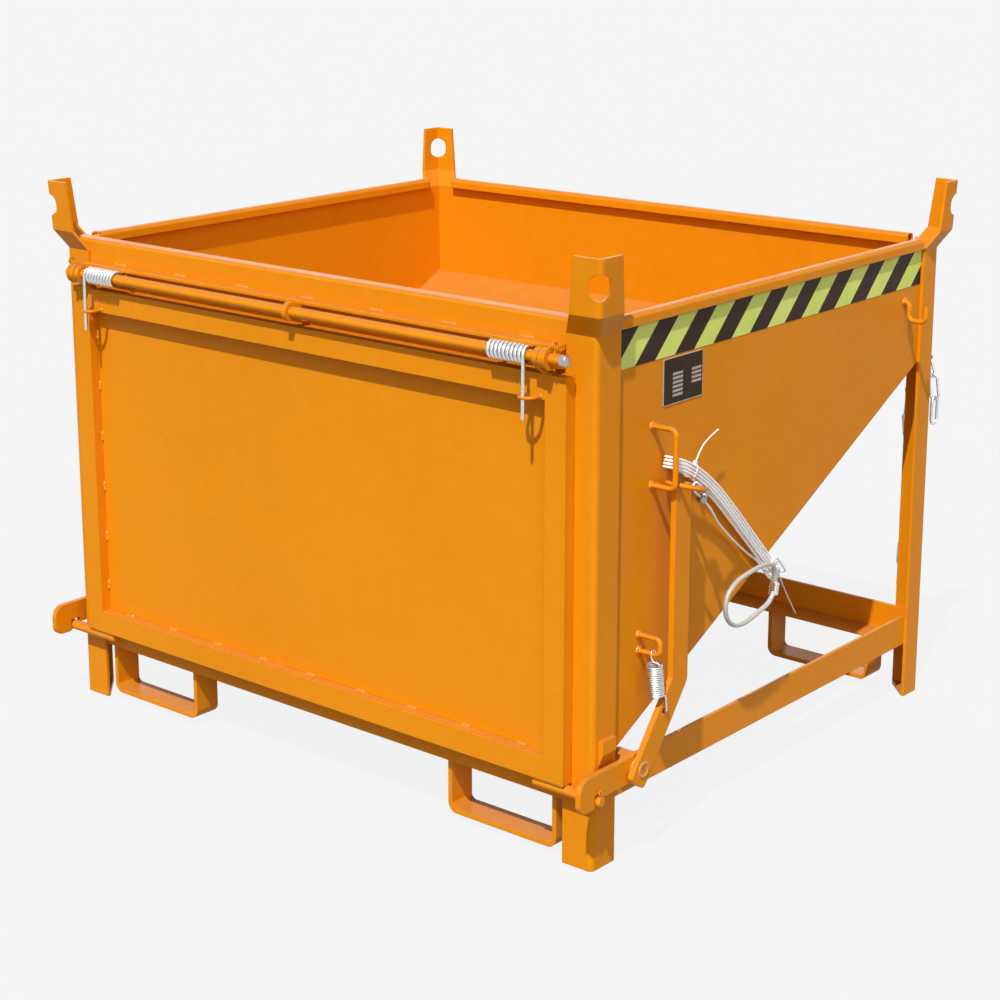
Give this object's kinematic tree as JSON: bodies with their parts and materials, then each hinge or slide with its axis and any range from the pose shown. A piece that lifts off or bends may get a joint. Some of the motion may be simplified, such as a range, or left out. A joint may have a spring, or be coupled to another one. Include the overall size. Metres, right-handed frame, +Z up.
{
  "type": "silo container",
  "caption": "Painted steel hopper container on angle posts, with a sprung front flap held by latch hooks, a hand lever with a release rope, fork straps and lifting eyes.",
  "frame": {"origin": "on the ground, at the middle of the footprint of the posts", "axes": "+Z up, +X to the right seen from the flap, +Y to the rear"},
  "size_m": [1.2925, 1.098, 0.968],
  "materials": {
    "orange_paint": "gloss enamel over rolled steel",
    "zinc": "bright zinc plate",
    "rope_coat": "clear coat over wire strands",
    "clear_sleeve": "clear hose over the rope",
    "white_plastic": "moulded",
    "hazard_film": "yellow-green and black stripes on film",
    "plate_film": "dark label film with bare pale fields"
  },
  "bodies": {
    "frame": {"base_rail_front": "orange_paint", "base_rail_left": "orange_paint", "base_rail_rear": "orange_paint", "base_rail_right": "orange_paint", "chain_staple": "orange_paint", "foot_plates": "orange_paint", "fork_strap_front_left": "orange_paint", "fork_strap_front_right": "orange_paint", "fork_strap_rear_left": "orange_paint", "fork_strap_rear_right": "orange_paint", "front_lintel": "orange_paint", "hazard_tape": "hazard_film", "hinge_brackets": "orange_paint", "hinge_ledge": "orange_paint", "hinge_rod": "orange_paint", "hinge_split_pins": "orange_paint", "hinge_washers": "orange_paint", "hook_guides": "orange_paint", "hopper_floor": "orange_paint", "post_front_left": "orange_paint", "post_front_right": "orange_paint", "post_rear_left": "orange_paint", "post_rear_right": "orange_paint", "rear_wall": "orange_paint", "return_spring": "zinc", "rim_left": "orange_paint", "rim_rear": "orange_paint", "rim_right": "orange_paint", "rope_hook": "orange_paint", "rope_keeper": "orange_paint", "securing_chain": "zinc", "shaft_bushes": "orange_paint", "side_panel_left": "orange_paint", "side_panel_right": "orange_paint", "spring_anchors": "orange_paint", "spring_staple": "orange_paint", "torsion_spring_left": "zinc", "torsion_spring_right": "zinc", "type_plate": "plate_film"},
    "flap": {"flap_border_bottom": "orange_paint", "flap_border_left": "orange_paint", "flap_border_right": "orange_paint", "flap_border_top": "orange_paint", "flap_ears": "orange_paint", "flap_panel": "orange_paint", "spring_eyes": "orange_paint", "latch_pins": "orange_paint", "latch_split_pins": "orange_paint"},
    "latch": {"latch_shaft": "orange_paint", "latch_hook_left": "orange_paint", "latch_hook_right": "orange_paint", "latch_lever": "orange_paint", "lever_ring": "orange_paint", "rope_tail": "rope_coat", "rope_hank": "rope_coat", "rope_grab_loop": "clear_sleeve", "rope_clip": "zinc", "rope_crimp": "zinc", "cable_ties": "white_plastic"}
  },
  "joints": [
    {"name": "flap_hinge", "type": "hinge", "parent": "frame", "child": "flap", "pos_m": [0, -0.539, 0.813], "axis": [-1, 0, 0], "range_deg": [0, 80], "stiffness_Nm_per_rad": 20, "springref_deg": -28.65, "deforming": ["torsion_spring_left", "torsion_spring_right"]},
    {"name": "latch_turn", "type": "hinge", "parent": "frame", "child": "latch", "pos_m": [0, -0.4215, 0.154], "axis": [-1, 0, 0], "range_deg": [0, 25], "stiffness_Nm_per_rad": 14, "springref_deg": -34.38, "deforming": ["return_spring"]}
  ]
}
